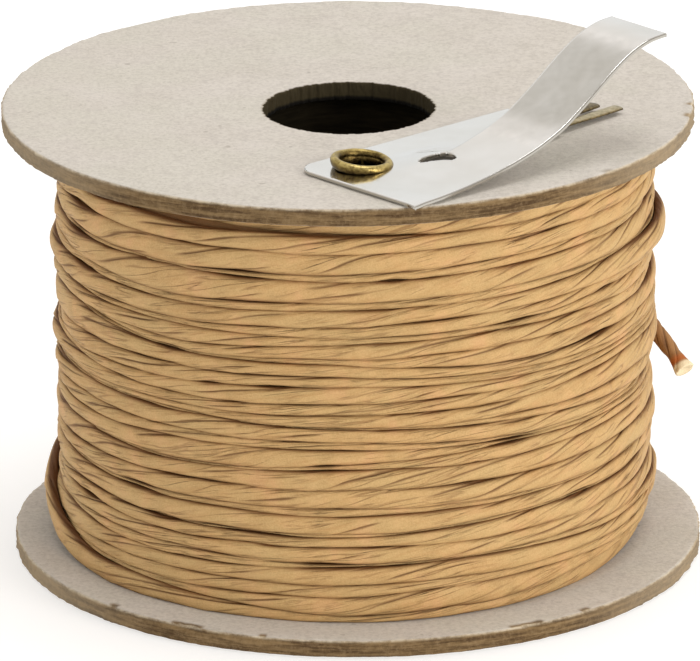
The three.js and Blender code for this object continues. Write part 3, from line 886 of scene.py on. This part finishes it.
def under_turns(finish):
    """The turns beneath, as one turned body: its profile goes up over a row of round ridges, back
    in over the top and down beside the tube. It swells with the turns over it."""
    low, high = WIND_LOW + 0.1, WIND_HIGH - 0.1
    heights = np.linspace(low, high, 93)
    ridge = 0.3 * np.abs(np.sin(math.pi * heights / 2.35)) ** 0.7
    outer = [(UNDER_RADIUS + r, h) for r, h in zip(ridge, heights)]
    bore = TUBE_RADII[1] + 0.3
    inner = [(34.0, high - 0.1), (32.5, high - 1.1), (25.0, high - 1.2), (bore, high - 1.2),
             (bore, 28.0), (bore, low), (25.0, low), (34.0, low)]
    points = turned(outer + inner, TURNED_SEGMENTS)
    turn = full_turn(TURNED_SEGMENTS)[:, None]
    outside = np.arange(points.shape[1]) < len(outer)
    swollen = 1 + outside * 0.9 * swell_at(np.degrees(turn), points[..., 2]) / UNDER_RADIUS
    points[..., :2] *= swollen[..., None]
    lay = stacked(turn * UNDER_RADIUS, points[..., 2] / 2, points[..., 2] / 2)
    faces = grid_faces(*points.shape[:2], True, True)
    count = points[..., 0].size
    # Painted shade: the turns beneath are painted most of the way to the grooves' dark brown.
    return mesh_piece("twine_under_turns", points, faces, finish, "kraft_twine", ("winding",),
                      lay=lay.reshape(-1, 3), crease=np.zeros(count), deep=np.full(count, 0.85))


def carried(route, steps):
    """Points, tangents and two cross directions along a smooth curve through the route."""
    route = np.asarray(route, float)
    before = np.vstack([2 * route[0] - route[1], route, 2 * route[-1] - route[-2]])
    t = np.linspace(0, len(route) - 1, steps)
    k = np.minimum(t.astype(int), len(route) - 2)
    f = (t - k)[:, None]
    p0, p1, p2, p3 = (before[k + n] for n in range(4))
    line = 0.5 * (2 * p1 + (p2 - p0) * f + (2 * p0 - 5 * p1 + 4 * p2 - p3) * f ** 2
                  + (3 * p1 - p0 - 3 * p2 + p3) * f ** 3)
    along = np.gradient(line, axis=0)
    along /= np.linalg.norm(along, axis=1)[:, None]
    side = np.cross(along, (0.0, 0.0, 1.0))
    side /= np.linalg.norm(side, axis=1)[:, None]
    return line, along, side, np.cross(side, along)


def loose_end(finish):
    """The free end: a twisted round section carried along the route. It swells out to its cut tip,
    and its end is drawn in to a shallow hollow."""
    steps = 150
    line, along, side, over = carried(LOOSE_ROUTE, steps)
    length = np.linspace(0, LOOSE_LENGTH, steps)
    angles = paper_angles()[0]
    relief, mark = crease_relief(length, angles, 900)
    theta = angles - (2 * math.pi * length / 14.0)[:, None]
    flare = 1.08 + 0.05 * wander(length, 5.0, 901) + 0.3 * smoothstep(length, 34.2, 37.0)
    pinch = 1 - 0.12 * hump((length - 33.4) / 1.2)
    ring = (TWINE_DIAMETER / 2 * flare * pinch)[:, None] + relief
    across, upright = ring * np.cos(theta), 0.88 * ring * np.sin(theta)
    points = line[:, None] + across[..., None] * side[:, None] + upright[..., None] * over[:, None]
    caps = [line[-1] + share * (points[-1] - line[-1]) + depth * along[-1]
            for share, depth in ((0.9, 0.1), (0.6, -0.1), (0.3, -0.25), (0.0, -0.3))]
    start = np.broadcast_to(line[0], points[0].shape)
    points = np.concatenate([start[None], points, np.array(caps)])
    count = len(angles)
    reach = np.concatenate([[0.0], length, [37.1, 37.2, 37.3, 37.4]])
    lay = stacked(reach[:, None], np.cos(angles), np.sin(angles))
    mark = np.concatenate([np.zeros((1, count)), mark, np.zeros((4, count))])
    tip = np.repeat(smoothstep(reach, 35.4, 36.0), count)
    # Painted shade: a band where the paper flares out before its cut tip.
    glue = np.repeat(hump((reach - 34.9) / 1.2), count)
    faces = grid_faces(len(points), count, wrap_columns=True)
    piece = mesh_piece("loose_end_twisted", points, faces, finish, "kraft_twine", ("loose_end",),
                       poles=True, lay=lay.reshape(-1, 3), crease=mark.ravel(), tip=tip, glue=glue)
    return piece


def loose_paper_painted_shade():
    """The free end's paper: painted darker brown than the winding's as painted shade, with a rust-coloured
    band of painted shade and a pale cut tip.
    """
    paper = Finish("loose_paper_painted_shade", roughness=0.7, specular=0.3)
    lay = paper.attribute("lay", "Vector")
    wrinkles = paper.noise(paper.stretched(lay, (0.3, 3.0, 3.0)), 1.0, 3.0, 0.6)
    colour = paper.ramp(wrinkles, (0.3, srgb(122, 82, 46)), (0.7, srgb(170, 126, 80)))
    # Painted shade: the creases are painted darker, and a rust-coloured band before the tip.
    colour = paper.marked(colour, paper.attribute("crease"), 0.7, (86, 52, 26))
    colour = paper.marked(colour, paper.attribute("glue"), 0.8, (176, 92, 34))
    paper.colour(paper.mix(paper.attribute("tip"), colour, srgb(232, 214, 178)))
    paper.bump((wrinkles, 0.0001))
    return paper.material


# Boards, tube, plate, eyelet and pin

def board_profile():
    """Round the cut from the hole's lower edge: up the hole, out over the face, down the rim and
    back in underneath. Each row has a radius, a height and its shares of cut edge, torn lip and
    the hole wall's painted shade."""
    hole, rim = HOLE_RADIUS, BOARD_RADIUS
    rows = [(hole, -BOARD * (1 - k / 7), 1, 0, 1.0 if k < 2 else 0.5) for k in range(7)]
    rows += [(hole + 0.03, -0.05, 1, 0, 0.5), (hole + 0.12, 0, 0.5, 0, 0.25), (hole + 0.35, 0, 0, 0, 0)]
    rows += [(r, 0, 0, 0, 0) for r in np.linspace(hole + 2, rim - 2.6, 12)]
    rows += [(rim - d, 0, 0, 0, 0) for d in (1.8, 1.35, 1.0, 0.75, 0.55, 0.4)]
    rows += [(rim - 0.27, -0.01, 0, 0.2, 0), (rim - 0.15, -0.03, 0.3, 0.8, 0), (rim - 0.05, -0.1, 0.9, 1, 0)]
    rows += [(rim, -0.2, 1, 0.6, 0), (rim, -0.34, 1, 0.1, 0), (rim, -0.5, 1, 0, 0)]
    rows += [(rim, -0.66 - (BOARD - 0.86) * k / 8, 1, 0, 0) for k in range(9)]
    rows += [(rim - 0.08, -BOARD + 0.08, 1, 0, 0), (rim - 0.25, -BOARD, 0.4, 0, 0)]
    rows += [(rim - 0.7, -BOARD, 0, 0, 0)]
    rows += [(r, -BOARD, 0, 0, 0) for r in np.linspace(rim - 3.0, hole + 0.6, 10)]
    return np.array(rows, float)


def board(name, node, hole, place, chips, finish, seed):
    """A round board whose rows are profile points round the cut. Its rows slide from the board's
    own centre to the hole's near the hole. The rim and the hole are rough, with tufts and layers,
    and chips are broken out of the rim."""
    radius, height, edge, lip, bore = board_profile().T
    turn = full_turn(BOARD_SEGMENTS)[:, None]
    toward_rim = smoothstep(radius, HOLE_RADIUS + 1, BOARD_RADIUS - 3)
    at_rim = smoothstep(radius, BOARD_RADIUS - 1.4, BOARD_RADIUS - 0.2)
    at_hole = 1 - smoothstep(radius, HOLE_RADIUS + 0.1, HOLE_RADIUS + 0.5)
    round_turn = turn / (2 * math.pi)
    waves = mottle(round_turn * 48, 0 * turn, 48, seed)
    layers = mottle(round_turn * 90, (height + 3) / 0.45, 90, seed + 1)
    tufts = mottle(round_turn * 440, (height + 3) / 0.3, 440, seed + 2)
    nibbles = mottle(round_turn * 330, 0 * turn, 330, seed + 3)
    bite = np.zeros_like(tufts)
    for where, length, depth, level in chips:
        bite += depth * hump(away_from(np.degrees(turn), where) / length) * hump((height - level) / 0.8)
    upper_side = height > -BOARD / 2
    rough = edge * (0.09 * tufts + 0.07 * layers) + 0.07 * waves + 0.05 * nibbles
    serrated = 0.15 * mottle(round_turn * 170, 0 * turn, 170, seed + 5) + 0.07 * tufts
    out = at_rim * (rough - bite * (0.8 + 0.5 * tufts)) + at_hole * serrated
    lift = at_rim * upper_side * (0.06 * waves + 0.03 * nibbles + 0.05 * lip * layers - 0.35 * bite)
    undulate = 0.05 * mottle(round_turn * 9, radius / 7.0, 9, seed + 4) * toward_rim
    x = (radius + out) * np.cos(turn) + hole[0] * (1 - toward_rim)
    y = (radius + out) * np.sin(turn) + hole[1] * (1 - toward_rim)
    points = place(stacked(x, y, height + lift + undulate * (1 - at_hole)))
    share = np.maximum(edge, at_rim * smoothstep(bite, 0.06, 0.2))
    # Painted light: the rim's share to be painted paler, most at its left and right.
    pale = smoothstep(np.abs(np.cos(turn)), 0.55, 0.95)
    pale, lip, bore = (np.broadcast_to(k, share.shape).ravel() for k in (pale, lip, bore))
    faces = grid_faces(*share.shape, True, True)
    return mesh_piece(name, points, faces, finish, "greyboard", (node,), rim=share.ravel(),
                      pale=pale, lip=lip, bore=bore)


def drill_holes(piece, holes):
    """Upright round holes, each of a plan centre and a radius, are cut through the piece."""
    sides = 64
    turn = full_turn(sides)
    walls = [(k, (k + 1) % sides, sides + (k + 1) % sides, sides + k) for k in range(sides)]
    caps = [tuple(range(sides - 1, -1, -1)), tuple(range(sides, 2 * sides))]
    for centre, radius in holes:
        x, y = centre[0] + radius * np.cos(turn), centre[1] + radius * np.sin(turn)
        rings = [stacked(x, y, z) for z in (-BOARD - 2, 2.0)]
        mesh = bpy.data.meshes.new("drill")
        mesh.from_pydata((on_upper_board(np.vstack(rings)) * MM).tolist(), [], walls + caps)
        drill = in_scene("drill", mesh)
        bore = piece.modifiers.new("hole", "BOOLEAN")
        bore.operation, bore.solver, bore.object = "DIFFERENCE", "EXACT", drill
        bpy.context.view_layer.update()
        done = bpy.data.meshes.new_from_object(piece.evaluated_get(bpy.context.evaluated_depsgraph_get()))
        piece.modifiers.clear()
        done.name = piece.name
        piece.data = done
        bpy.data.objects.remove(drill)


def boards(finish):
    """Both boards, with the chips of their rims, and the eyelet's and the pin's hole in the upper."""
    hole = (HOLE_LOWER[0] - BOARD_SHIFT, HOLE_LOWER[1])
    board("board_lower", "flange_bottom", hole, on_lower_board, LOWER_CHIPS, finish, 11)
    hole = (HOLE_UPPER[0] + BOARD_SHIFT, HOLE_UPPER[1])
    upper = board("board_upper", "flange_top", hole, on_upper_board, UPPER_CHIPS, finish, 23)
    drill_holes(upper, ((on_plate(*EYELET_CENTRE, 0.0)[:2], EYELET_BOARD_HOLE),
                        (on_plate(*PIN_CENTRE, 0.0)[:2], PIN_HOLE)))


def tube(finish):
    """The core tube: a turned ring section with eased edges, 2 mm thick, between the boards."""
    low, high = BOARD + TUBE_CLEARANCES[0], HEIGHT - BOARD - TUBE_CLEARANCES[1]
    inner, outer = TUBE_RADII
    profile = [(inner, low + (high - low) * k / 12) for k in range(13)]
    profile += [(inner + TUBE_EASE, high), (outer - TUBE_EASE, high), (outer, high - TUBE_EASE),
                (outer, low + TUBE_EASE), (outer - TUBE_EASE, low)]
    points = turned(profile, TURNED_SEGMENTS, (0.0, TUBE_CENTRE_Y))
    faces = grid_faces(*points.shape[:2], True, True)
    return mesh_piece("core_tube_board", points, faces, finish, "tube_board", ("core_tube",))


def tongue_height(s):
    """Height of the tongue's upper face: a smooth curve through the table."""
    table = np.array(TONGUE_RISE)
    fine = np.linspace(table[0, 0], table[-1, 0], 451)
    curve = smooth_curve(fine, table[:, 0], table[:, 1], 21)
    return np.interp(s, fine, curve)


def sheet_height(s, a):
    """The tongue follows its curve. The other half lies flat, but next to the slit's root it is
    drawn up with the tongue and eases back down. The corner on the rim is pressed down."""
    drawn = 1 - smoothstep(a, TONGUE_WIDTH, PLATE_WIDTH - SLIT_EASE / 2)
    ease = 1 - smoothstep(s, SLIT_ROOT, SLIT_ROOT + SLIT_EASE)
    flat = SHEET + SHEET_GAP
    beside = flat + (tongue_height(np.minimum(s, SLIT_ROOT)) - flat) * drawn * ease
    height = np.where(a <= TONGUE_WIDTH + SLIT_WIDTH / 2, tongue_height(s), beside)
    pressed = 0.12 * np.exp(-(np.hypot(s, a) / 1.3) ** 2)
    return height - pressed


def outside_sheet(s, a):
    """Distance outside the sheet's outline, below zero within it: the largest of the distances
    past each edge, the slit, the rounded corner, the notch and both holes."""
    skew = s + SHORT_EDGE_SKEW * a / PLATE_WIDTH
    corner = np.hypot(np.minimum(skew - CORNER_ROUND, 0), np.maximum(a - PLATE_WIDTH + CORNER_ROUND, 0))
    slit = np.minimum(s - SLIT_ROOT, SLIT_WIDTH / 2 - np.abs(a - TONGUE_WIDTH - SLIT_WIDTH / 2))
    short_half = np.minimum(s - FLAT_LENGTH, a - TONGUE_WIDTH)
    notch = np.minimum(s - PIN_NOTCH[0], np.minimum(PIN_NOTCH[1] - a, a - TONGUE_WIDTH))
    eyelet_hole = EYELET_SHEET_HOLE - np.hypot(s - EYELET_CENTRE[0], a - EYELET_CENTRE[1])
    u, v = rotated(s - RELIEF_CENTRE[0], a - RELIEF_CENTRE[1], -RELIEF_TURN)
    half = (RELIEF_LENGTH - RELIEF_WIDTH) / 2
    bent = v - RELIEF_BEND * (1 - (u / (half + RELIEF_WIDTH / 2)) ** 2) / 1.6
    bean = RELIEF_WIDTH / 2 - np.hypot(u - np.clip(u, -half, half), bent)
    past = [-skew, -a, s - PLATE_LENGTH, a - PLATE_WIDTH, corner - CORNER_ROUND,
            slit, short_half, notch, eyelet_hole, bean]
    return np.max(np.stack(past), axis=0)


def outward(s, a):
    """Unit direction in which the distance outside the outline grows fastest."""
    lean_s = outside_sheet(s + 0.01, a) - outside_sheet(s - 0.01, a)
    lean_a = outside_sheet(s, a + 0.01) - outside_sheet(s, a - 0.01)
    size = np.maximum(np.hypot(lean_s, lean_a), 1e-6)
    return lean_s / size, lean_a / size


def plate_plan():
    """A grid over the sheet's plan as s, a and triangles. Its points near the outline are moved
    onto it, and triangles outside or without area are left out."""
    step = 0.22
    s, a = np.meshgrid(np.arange(-1.2, 41.8, step), np.arange(-0.6, 21.6, step), indexing="ij")
    for _ in range(3):
        away = outside_sheet(s, a)
        lean_s, lean_a = outward(s, a)
        near = np.abs(away) < 0.6 * step
        s = s - np.where(near, away * lean_s, 0)
        a = a - np.where(near, away * lean_a, 0)
    inside = (outside_sheet(s, a) < 0.02).ravel()
    quads = grid_faces(*s.shape)
    triangles = np.vstack([quads[:, (0, 1, 2)], quads[:, (0, 2, 3)]])
    triangles = triangles[inside[triangles].all(axis=1)]
    first, second, third = (np.stack([s.ravel(), a.ravel()])[:, triangles[:, k]] for k in range(3))
    (us, ua), (vs, va) = second - first, third - first
    area = us * va - ua * vs
    triangles = np.where(area[:, None] > 0, triangles, triangles[:, ::-1])[np.abs(area) > 1e-5]
    used, triangles = np.unique(triangles, return_inverse=True)
    return s.ravel()[used], a.ravel()[used], triangles.reshape(-1, 3)


def plate(finish):
    """The cutter plate: its plan raised to the sheet's height, with a second layer a thickness
    beneath, square to the slope. Walls with eased edges join the two round the outline."""
    s, a, triangles = plate_plan()
    count = len(s)
    edges = np.vstack([triangles[:, (0, 1)], triangles[:, (1, 2)], triangles[:, (2, 0)]])
    _, place, times = np.unique(np.sort(edges, axis=1), axis=0, return_inverse=True, return_counts=True)
    border = edges[times[place.ravel()] == 1]
    rim = np.unique(border)
    in_rim = np.zeros(count, int)
    in_rim[rim] = np.arange(len(rim))
    lean_s, lean_a = outward(s, a)
    inset = np.zeros(count)
    inset[rim] = SHEET_EASE

    def layer(which, inward, depth):
        here_s, here_a = s[which], a[which]
        slope = (sheet_height(here_s + 0.05, here_a) - sheet_height(here_s - 0.05, here_a)) / 0.1
        height = sheet_height(here_s, here_a) - depth / np.hypot(1, slope)
        shift = depth * slope / np.hypot(1, slope)
        return on_plate(here_s + shift - inward * lean_s[which], here_a - inward * lean_a[which], height)

    everywhere = np.arange(count)
    points = [layer(everywhere, inset, 0), layer(everywhere, inset, SHEET),
              layer(rim, 0, SHEET_EASE), layer(rim, 0, SHEET - SHEET_EASE)]
    rings = (border, in_rim[border] + 2 * count, in_rim[border] + 2 * count + len(rim), border + count)
    walls = []
    for (u, v), (under_u, under_v) in zip([r.T for r in rings], [r.T for r in rings[1:]]):
        walls += [np.stack([v, u, under_u], -1), np.stack([v, under_u, under_v], -1)]
    faces = np.vstack([triangles, triangles[:, ::-1] + count, *walls])
    cut = np.concatenate([np.zeros(2 * count), np.ones(2 * len(rim))])
    return mesh_piece("cutter_plate_sheet", on_upper_board(np.vstack(points)), faces, finish, "plate_metal",
                      ("cutter_plate",), flat_from=2 * len(triangles), cut=cut)


def eyelet(finish):
    """The brass eyelet: a turned profile of a rolled ring, a barrel through plate and board, and a
    set flange under the board. The ring leans down to the right and is a little uneven."""
    roll = np.linspace(-0.6 * math.pi, 1.12 * math.pi, 22)
    rows = [(2.95, -3.75, 0.0), (3.9, -3.7, 0.0), (3.95, -3.5, 0.0), (3.9, -3.35, 0.0), (2.97, -3.3, 0.0),
            (2.9, -0.4, 0.0), (2.9, 0.25, 0.0)]
    rows += [(RING_RADIUS + RING_ROLL * math.cos(t), RING_LIFT + RING_ROLL * math.sin(t),
              max(0.15, math.sin(t + 0.35)) ** 0.8) for t in roll]
    # The barrel's rows go below zero in the third column: painted shade, darker further down.
    rows += [(2.68, 0.45, 0.3), (2.66, 0.1, 0.15), (2.64, -0.6, -0.1), (2.64, -1.6, -0.6), (2.64, -3.5, -1.0)]
    reach, level, wear_and_shading = np.array(rows).T
    turn = full_turn(EYELET_SEGMENTS)[:, None]
    at_ring = smoothstep(level, 0.1, 0.8)
    uneven = 0.035 * mottle(turn * 14 / (2 * math.pi), level * 2, 14, 41)
    radius = reach + at_ring * uneven
    lean = math.tan(math.radians(EYELET_TILT))
    x, y = radius * np.cos(turn), radius * np.sin(turn)
    z = level + SHEET + at_ring * (uneven - lean * x)
    centre = on_plate(*EYELET_CENTRE, 0.0)
    points = on_upper_board(stacked(x + centre[0], y + centre[1], z))
    worn = np.broadcast_to(wear_and_shading, x.shape)
    faces = grid_faces(*x.shape, True, True)
    return mesh_piece("eyelet_ring", points, faces, finish, "old_brass", ("eyelet",), worn=worn.ravel())


def pin_leg(reach, turn, width, thickness, bend_height, end_height):
    """One leg: a strip section with round edges carried up through the board, round a bend and out
    over it, a little wider at its square end. Also its upper side's share of painted light."""
    bend = 0.6
    arc = np.linspace(0, math.pi / 2, 7)
    low = -BOARD - 0.5
    straight = np.linspace(bend + 0.8, reach, 14)
    out = np.concatenate([[0, 0], bend * (1 - np.cos(arc)), straight])
    up = np.concatenate([[low, bend_height - bend - 0.3], bend_height - bend * (1 - np.sin(arc)),
                         np.interp(straight, [reach / 3, reach], [bend_height, end_height])])
    dout, dup = np.gradient(out), np.gradient(up)
    size = np.hypot(dout, dup)
    nout, nup = -dup / size, dout / size
    theta = full_turn(20)
    across, thick = section(theta, width / 2, thickness / 2)
    taper = np.concatenate([[0.0], np.ones(len(out) - 1), [0.8, 0.0]])
    out, up = np.append(out, [out[-1] + 0.06] * 2), np.append(up, [up[-1]] * 2)
    nout, nup = np.append(nout, [nout[-1]] * 2), np.append(nup, [nup[-1]] * 2)
    broad = taper * (0.85 + 0.3 * smoothstep(out, 0, reach))
    rings_out = out[:, None] + nout[:, None] * thick * taper[:, None]
    rings_up = up[:, None] + nup[:, None] * thick * taper[:, None]
    side = across * broad[:, None]
    x, y = rotated(rings_out, side, PLATE_TURN + turn)
    # Painted light: the leg's upper side is painted pale, as light from above.
    top = np.broadcast_to(smoothstep(np.sin(theta), 0.1, 0.7), x.shape)
    return stacked(x, y, rings_up), top


def split_pin(finish):
    """The split pin: two legs and a round head under the board, joined as one piece."""
    centre = on_plate(*PIN_CENTRE, 0.0)
    head = turned([(0.0, -3.06), (1.6, -3.0), (1.8, -2.8), (1.6, -2.58), (0.0, -2.56)], 32)
    parts = [(head, grid_faces(*head.shape[:2], True, False), np.zeros(head.shape[:2]))]
    # Each leg's last column scales its painted light on top.
    for *form, wear_and_shading in PIN_LEGS:
        rings, top = pin_leg(*form)
        parts.append((rings, grid_faces(*top.shape, False, True), top * wear_and_shading))
    points, faces, worn, count = [], [], [], 0
    for rings, sides, share in parts:
        points.append(rings.reshape(-1, 3))
        faces.append(faced_outward(rings, sides) + count)
        worn.append(share.ravel())
        count += share.size
    points = np.vstack(points) + np.array((centre[0], centre[1], 0.0))
    return mesh_piece("split_pin_legs", on_upper_board(points), np.vstack(faces), finish, "old_brass",
                      ("split_pin",), poles=True, worn=np.concatenate(worn))


# Camera, floor and light

def camera():
    """A long lens, level with the photo's and rolled a little."""
    elevation = math.radians(CAMERA_ELEVATION)
    target = Vector(CAMERA_TARGET) * MM
    back = Vector((0.0, -math.cos(elevation), math.sin(elevation)))
    data = bpy.data.cameras.new("camera")
    data.sensor_width = 36.0
    data.lens = CAMERA_LENS
    data.clip_start, data.clip_end = 0.05, 20.0
    eye = in_scene("camera", data)
    turn = (-back).to_track_quat("-Z", "Y").to_matrix().to_4x4()
    roll = Matrix.Rotation(math.radians(CAMERA_ROLL), 4, "Z")
    eye.matrix_world = Matrix.Translation(target + back * CAMERA_DISTANCE * MM) @ turn @ roll
    bpy.context.scene.camera = eye


def floor():
    """A plain pale floor, 6 m across."""
    ground = Finish("floor_white", roughness=0.9, specular=0.1)
    ground.colour((0.6, 0.6, 0.6, 1.0))
    ground.put(ground.shader.inputs["Emission Color"], (1.0, 1.0, 1.0, 1.0))
    ground.put(ground.shader.inputs["Emission Strength"], 0.5)
    mesh = bpy.data.meshes.new("floor")
    corners = [(-3, -3, -0.0002), (3, -3, -0.0002), (3, 3, -0.0002), (-3, 3, -0.0002)]
    mesh.from_pydata(corners, [], [(0, 1, 2, 3)])
    mesh.materials.append(ground.material)
    plane = in_scene("floor", mesh)


def softbox(name, place, size, power, tint=(1.0, 1.0, 1.0)):
    """A square light at a place in metres, turned to the spool."""
    data = bpy.data.lights.new(name, "AREA")
    data.shape = "SQUARE"
    data.size = size
    data.energy = power
    data.color = tint
    place = Vector(place)
    turn = (Vector((0, 0, 0.03)) - place).to_track_quat("-Z", "Y").to_matrix().to_4x4()
    in_scene(name, data).matrix_world = Matrix.Translation(place) @ turn


def light():
    """A pale sky, dimmer and warmer overhead, a soft key from the right, a weak one from the left and
    one above."""
    world = bpy.data.worlds.new("studio")
    world.use_nodes = True
    nodes, links = world.node_tree.nodes, world.node_tree.links
    height = nodes.new("ShaderNodeSeparateXYZ")
    fade = nodes.new("ShaderNodeValToRGB")
    stops = fade.color_ramp.elements
    for place, _ in SKY[2:]:
        stops.new(place)
    for stop, (place, colour) in zip(stops, SKY):
        stop.position = place
        stop.color = (*colour, 1.0)
    links.new(nodes.new("ShaderNodeTexCoord").outputs["Generated"], height.inputs["Vector"])
    links.new(height.outputs["Z"], fade.inputs["Fac"])
    links.new(fade.outputs["Color"], nodes["Background"].inputs["Color"])
    bpy.context.scene.world = world
    softbox("key_right", (0.97, -0.75, 0.34), 0.6, 8.3, (1.0, 0.97, 0.93))
    softbox("fill_left", (-1.1, -0.25, 0.4), 0.8, 0.8)
    softbox("top", (0.1, 0.1, 1.2), 0.7, 5.2)
    bpy.context.scene.view_settings.view_transform = "Standard"


def main():
    camera()
    loose_end(loose_paper_painted_shade())
    kraft = kraft_paper()
    strand_pieces(kraft)
    under_turns(kraft)
    boards(greyboard())
    tube(tube_board_painted_shade())
    plate(plate_metal())
    eyelet(old_brass())
    split_pin(pin_metal())
    floor()
    light()


main()
